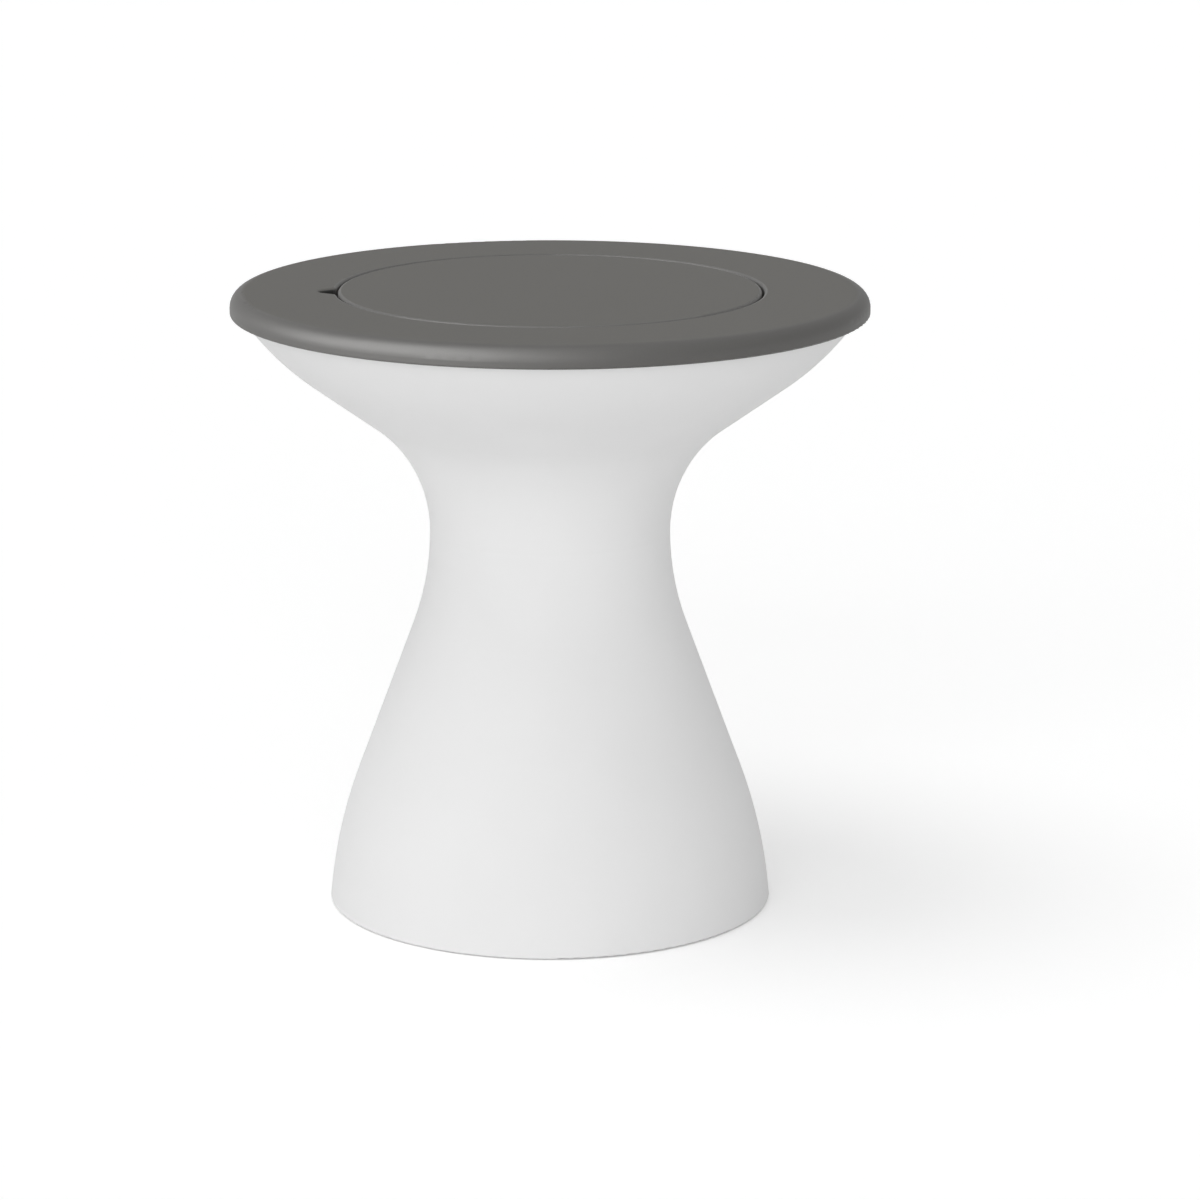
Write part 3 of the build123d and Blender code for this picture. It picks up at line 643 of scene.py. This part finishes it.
class COOLER_OT_make_lid_seal(bpy.types.Operator):
    """Soft two-lipped seal under the lid"""

    bl_idname = "cooler.make_lid_seal"
    bl_label = "Lid seal"

    def execute(self, context):
        parts = context.scene.cooler_parts
        low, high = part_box("lid_gasket")
        outer = high[0]
        section = lipped_section(outer - parts.seal_width, outer, low[2], high[2], parts.seal_lips,
                                 parts.seal_groove)
        grid = lathe(section, full_turn(RING_COLUMNS))
        rubber = nodes["bin_flange_gasket"].active_material
        piece("lid_seal", grid[None], rubber, "lid", "lid_gasket", closed=True)
        return {"FINISHED"}


class COOLER_OT_make_drain_plug(bpy.types.Operator):
    """Drain plug with a fluted knob"""

    bl_idname = "cooler.make_drain_plug"
    bl_label = "Drain plug"

    def execute(self, context):
        look = context.scene.cooler_finish
        parts = context.scene.cooler_parts
        low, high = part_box("drain_plug")
        ring_low, ring_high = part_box("plug_o_ring")
        seat = low[2] + parts.stem_length
        neck = seat + parts.cap_height
        knob = high[2] - parts.knob_height
        bed = ring_high[0] - (ring_high[2] - ring_low[2])
        stem = np.array([
            [parts.neck_radius, low[2]],
            [parts.stem_radius, low[2]],
            [parts.stem_radius, ring_low[2]],
            [bed, ring_low[2]],
            [bed, ring_high[2]],
            [parts.stem_radius, ring_high[2]],
            [parts.stem_radius, seat],
            [high[0], seat],
            [high[0], neck],
            [parts.neck_radius, neck]])
        grip = squared_oval(parts.knob_radius, parts.knob_height, parts.knob_square, parts.neck_radius)
        profile = np.concatenate([stem, grip + [0, knob]])
        angles = full_turn(KNOB_COLUMNS)
        grid = lathe(profile, angles)
        on_knob = (np.arange(len(profile)) >= len(stem))[:, None]
        fluted = on_knob * (profile[:, :1] / parts.knob_radius) ** 2
        cut = parts.flute_depth * fluted * ((1 + np.cos(parts.flute_count * angles)) / 2) ** 2
        grid[..., :2] *= (1 - cut / profile[:, :1])[..., None]
        resin = moulded_fitting("plug_resin", look.plug)
        piece("fluted_plug", grid[None], resin, "plug", "drain_plug")
        return {"FINISHED"}


class COOLER_OT_dress_fasteners(bpy.types.Operator):
    """Screws, clamps and inserts"""

    bl_idname = "cooler.dress_fasteners"
    bl_label = "Fasteners"

    def execute(self, context):
        look = context.scene.cooler_finish
        steel = turned_metal("stainless", look.steel, STEEL_SKIN)
        dress(steel, "ring_screws", "base_screws", "lid_screws", "hose_clamps")
        dress(turned_metal("brass", look.brass, BRASS_SKIN), "ring_inserts", "base_inserts")
        return {"FINISHED"}


class COOLER_OT_make_feet(bpy.types.Operator):
    """Rubber feet with grip rings"""

    bl_idname = "cooler.make_feet"
    bl_label = "Feet"

    def execute(self, context):
        look = context.scene.cooler_finish
        parts = context.scene.cooler_parts
        places = foot_places(parts.pad_count)
        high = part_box("rubber_feet")[1]
        radius = high[1] - places[:, 1].max()
        profile = ringed_pad(radius, high[2], parts.pad_rings, parts.pad_groove, parts.pad_round)
        grids = lathe(profile, full_turn(SMALL_COLUMNS))[None] + places[:, None, None]
        rubber = soft_rubber("foot_rubber", look.foot, FOOT_SKIN)
        piece("grip_feet", grids, rubber, "table", "rubber_feet")
        return {"FINISHED"}


def sun(name, power, spread, bearing, height):
    """Far lamp that shines at the table from a bearing, taken from the camera round to the left."""
    lamp = bpy.data.lights.new(name, "SUN")
    lamp.energy = power
    lamp.angle = spread
    made = bpy.data.objects.new(name, lamp)
    towards = Vector((-math.sin(bearing) * math.cos(height), -math.cos(bearing) * math.cos(height),
                      math.sin(height)))
    made.rotation_mode = "QUATERNION"
    made.rotation_quaternion = towards.to_track_quat("Z", "Y")
    made.location = towards * LAMP_DISTANCE
    bpy.context.scene.collection.objects.link(made)
    return made


def plain_sight(recipe):
    """Share that is 1 for what the camera sees straight, mirrored or through clear pieces, and 0 for the
    light that reaches the table."""
    path = recipe.node("ShaderNodeLightPath").outputs
    sights = (path[f"Is {way} Ray"] for way in ("Camera", "Glossy", "Transmission"))
    return recipe.joined("MAXIMUM", *sights)


def white_surround(strength):
    """World: a white band round the horizon that fades to an even light of a given strength above it."""
    world = bpy.data.worlds.new("studio")
    world.use_nodes = True
    tree = world.node_tree
    sky = tree.nodes["Background"]
    sky.inputs["Color"].default_value = (1, 1, 1, 1)
    place = tree.nodes.new("ShaderNodeTexCoord")
    parts = tree.nodes.new("ShaderNodeSeparateXYZ")
    fade = tree.nodes.new("ShaderNodeMapRange")
    fade.inputs["From Min"].default_value = math.sin(BAND_FULL)
    fade.inputs["From Max"].default_value = math.sin(BAND_END)
    fade.inputs["To Min"].default_value = 1.0
    fade.inputs["To Max"].default_value = strength
    tree.links.new(place.outputs["Generated"], parts.inputs["Vector"])
    tree.links.new(parts.outputs["Z"], fade.inputs["Value"])
    tree.links.new(fade.outputs["Result"], sky.inputs["Strength"])
    bpy.context.scene.world = world


def pale_floor(studio):
    """Wide square floor at the foot of the table. The picture shows it white, with the table's shadow, and
    it sends less light back up at the table than that white would."""
    corner = np.array([[-1, -1, 0], [1, -1, 0], [1, 1, 0], [-1, 1, 0]]) * studio.floor_reach
    mesh = bpy.data.meshes.new("floor")
    mesh.from_pydata(corner, [], [[0, 1, 2, 3]])
    recipe = Recipe("floor")
    seen = plain_sight(recipe)
    mesh.materials.append(recipe.shade(
        Base_Color=recipe.span(seen, studio.floor_bounce, studio.floor_white, 0.0, 1.0),
        Emission_Color=(1, 1, 1, 1),
        Emission_Strength=recipe.span(seen, 0.0, studio.floor_lift, 0.0, 1.0),
        Roughness=1.0,
        Specular_IOR_Level=0.0))
    made = bpy.data.objects.new("floor", mesh)
    bpy.context.scene.collection.objects.link(made)


def photo_camera(studio):
    """Camera in front of the table, a little above it and looking down."""
    lens = bpy.data.cameras.new("camera")
    lens.lens = studio.lens
    lens.sensor_width = FILM_WIDTH
    lens.shift_x = studio.camera_shift
    lens.clip_end = 2 * studio.floor_reach
    made = bpy.data.objects.new("camera", lens)
    made.location = (0, -studio.camera_back, studio.camera_high)
    made.rotation_euler = (math.pi / 2 - studio.camera_dip, 0, 0)
    bpy.context.scene.collection.objects.link(made)
    bpy.context.scene.camera = made


class COOLER_OT_set_stage(bpy.types.Operator):
    """Floor, lamps, white surround and camera"""

    bl_idname = "cooler.set_stage"
    bl_label = "Studio"

    def execute(self, context):
        studio = context.scene.cooler_studio
        pale_floor(studio)
        sun("front", studio.front_power, studio.front_spread, studio.front_from, studio.front_high)
        sun("key", studio.key_power, studio.key_spread, studio.key_from, studio.key_high)
        edge = sun("edge", studio.edge_power, studio.edge_spread, studio.edge_from, studio.edge_high)
        # The edge lamp lights no dull surface and only shows as a soft light in glossy ones
        edge.visible_diffuse = False
        white_surround(studio.ambient)
        photo_camera(studio)
        context.scene.view_settings.view_transform = "Standard"
        return {"FINISHED"}


OPERATORS = (
    COOLER_OT_dress_pedestal,
    COOLER_OT_dress_tabletop,
    COOLER_OT_dress_cooler,
    COOLER_OT_dress_drain,
    COOLER_OT_make_lid_seal,
    COOLER_OT_make_drain_plug,
    COOLER_OT_dress_fasteners,
    COOLER_OT_make_feet,
    COOLER_OT_set_stage)


class COOLER_PT_panel(bpy.types.Panel):
    """Lists the table's pieces and their settings"""

    bl_label = "Cooler table"
    bl_idname = "COOLER_PT_panel"
    bl_space_type = "VIEW_3D"
    bl_region_type = "UI"
    bl_category = "Cooler table"

    def draw(self, context):
        for operator in OPERATORS:
            self.layout.operator(operator.bl_idname)
        for name, group in GROUPS.items():
            box = self.layout.box()
            for setting in group.__annotations__:
                box.prop(getattr(context.scene, name), setting)


def register():
    """Adds the classes, and the settings to every scene."""
    for made in (*GROUPS.values(), *OPERATORS, COOLER_PT_panel):
        bpy.utils.register_class(made)
    for name, group in GROUPS.items():
        setattr(bpy.types.Scene, name, PointerProperty(type=group))


def unregister():
    """Takes the settings and the classes away again."""
    for name in GROUPS:
        delattr(bpy.types.Scene, name)
    for made in reversed((*GROUPS.values(), *OPERATORS, COOLER_PT_panel)):
        bpy.utils.unregister_class(made)


def main():
    """Makes everything in order."""
    register()
    for operator in OPERATORS:
        group, call = operator.bl_idname.split(".")
        getattr(getattr(bpy.ops, group), call)()


if __name__ == "__main__":
    main()
